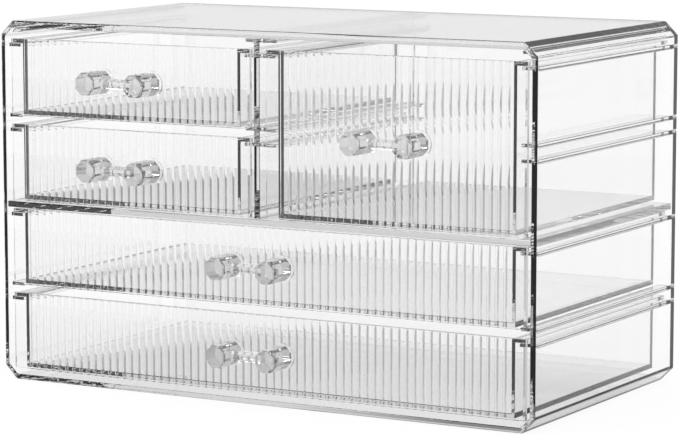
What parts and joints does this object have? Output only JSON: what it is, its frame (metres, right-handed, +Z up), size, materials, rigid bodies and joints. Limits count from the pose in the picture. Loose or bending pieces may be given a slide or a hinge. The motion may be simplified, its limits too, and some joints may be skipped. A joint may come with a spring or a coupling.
{
  "type": "drawer organizer",
  "caption": "Clear plastic tabletop organiser with chamfered case edges, stacked small, tall and full-width drawers, ribbed fronts and cut-glass style handles.",
  "frame": {"origin": "centre of the base, on the surface that the organiser stands on, under the middle of its whole outline with the handles", "axes": "+X to the right seen from the front, +Y from the drawer fronts to the back, +Z up"},
  "size_m": [0.24, 0.1414, 0.146],
  "materials": {
    "clear_case": "clear, polished",
    "clear_tray": "clear, polished",
    "clear_ribbed_front": "clear, polished, ribbed",
    "clear_cut_handle": "clear, polished, faceted"
  },
  "bodies": {
    "case": {"case_shell": "clear_case", "middle_shelf": "clear_case", "centre_divider": "clear_case"},
    "bottom_drawer": {"bottom_drawer_tray": "clear_tray", "bottom_drawer_front": "clear_ribbed_front", "bottom_drawer_handle": "clear_cut_handle"},
    "second_drawer": {"second_drawer_tray": "clear_tray", "second_drawer_front": "clear_ribbed_front", "second_drawer_handle": "clear_cut_handle"},
    "left_lower_drawer": {"left_lower_drawer_tray": "clear_tray", "left_lower_drawer_front": "clear_ribbed_front", "left_lower_drawer_handle": "clear_cut_handle"},
    "left_upper_drawer": {"left_upper_drawer_tray": "clear_tray", "left_upper_drawer_front": "clear_ribbed_front", "left_upper_drawer_handle": "clear_cut_handle"},
    "tall_drawer": {"tall_drawer_tray": "clear_tray", "tall_drawer_front": "clear_ribbed_front", "tall_drawer_handle": "clear_cut_handle"}
  },
  "joints": [
    {"name": "bottom_drawer_slide", "type": "slide", "parent": "case", "child": "bottom_drawer", "axis": [0, -1, 0], "range_m": [0, 0.095]},
    {"name": "second_drawer_slide", "type": "slide", "parent": "case", "child": "second_drawer", "axis": [0, -1, 0], "range_m": [0, 0.095]},
    {"name": "left_lower_drawer_slide", "type": "slide", "parent": "case", "child": "left_lower_drawer", "axis": [0, -1, 0], "range_m": [0, 0.095]},
    {"name": "left_upper_drawer_slide", "type": "slide", "parent": "case", "child": "left_upper_drawer", "axis": [0, -1, 0], "range_m": [0, 0.095]},
    {"name": "tall_drawer_slide", "type": "slide", "parent": "case", "child": "tall_drawer", "axis": [0, -1, 0], "range_m": [0, 0.095]}
  ]
}
